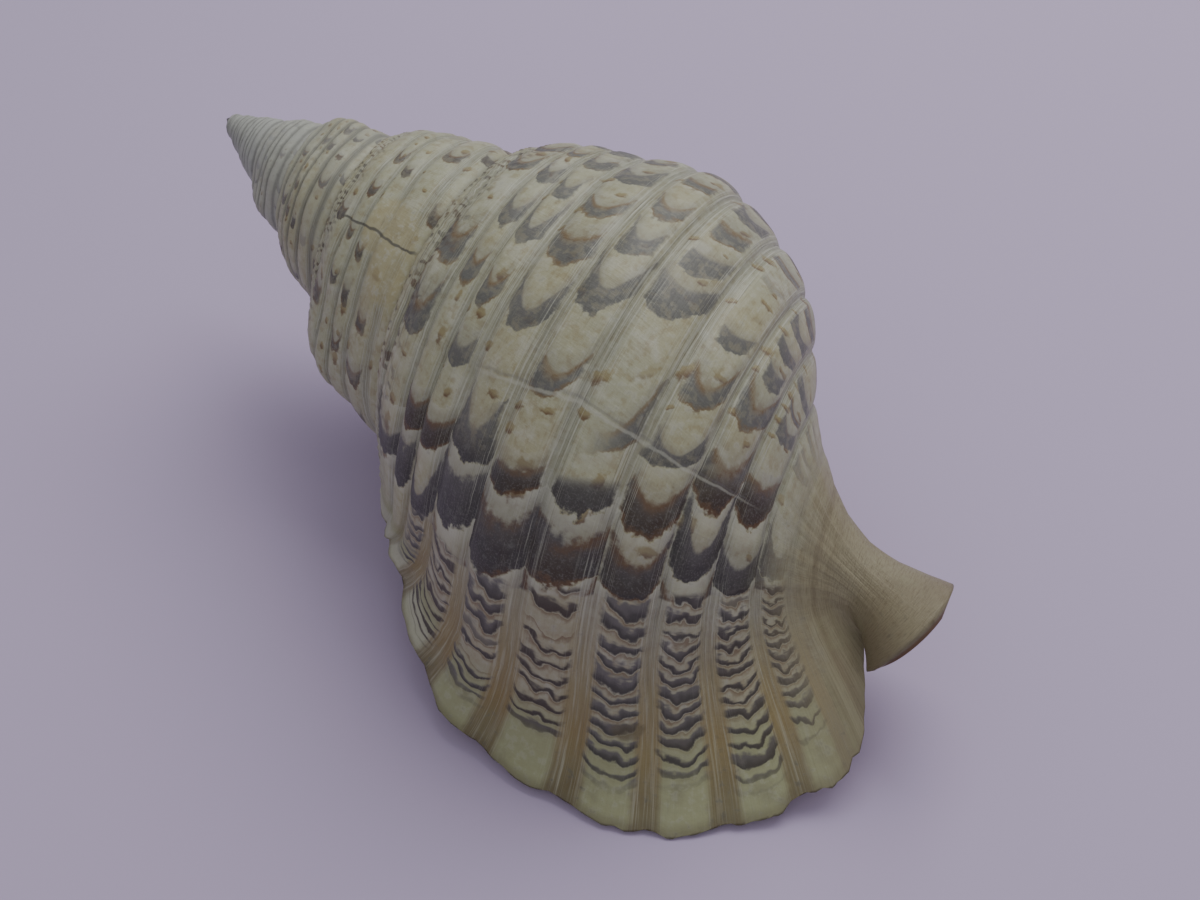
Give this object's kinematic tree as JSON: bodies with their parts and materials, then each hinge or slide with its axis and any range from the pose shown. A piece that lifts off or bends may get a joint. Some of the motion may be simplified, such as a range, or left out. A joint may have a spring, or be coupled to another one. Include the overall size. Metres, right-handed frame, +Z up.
{
  "type": "triton shell trumpet",
  "caption": "Large marine snail shell with a tall spire, corded body whorl, flared wavy lip, hollow mouth and short open canal, resting on its lip.",
  "frame": {"origin": "on the surface the shell rests on, under the middle of its bounding box", "axes": "+X from the pointed end of the spire to the end of the canal, -Y to the side of the flared lip, +Z up from the surface, with the mouth facing down"},
  "size_m": [0.328, 0.1898, 0.1436],
  "materials": {
    "shell_lime": "natural lime shell, cream with grey-purple, brown and ochre markings, worn half-gloss"
  },
  "bodies": {
    "root": {"shell": "shell_lime"}
  },
  "joints": []
}
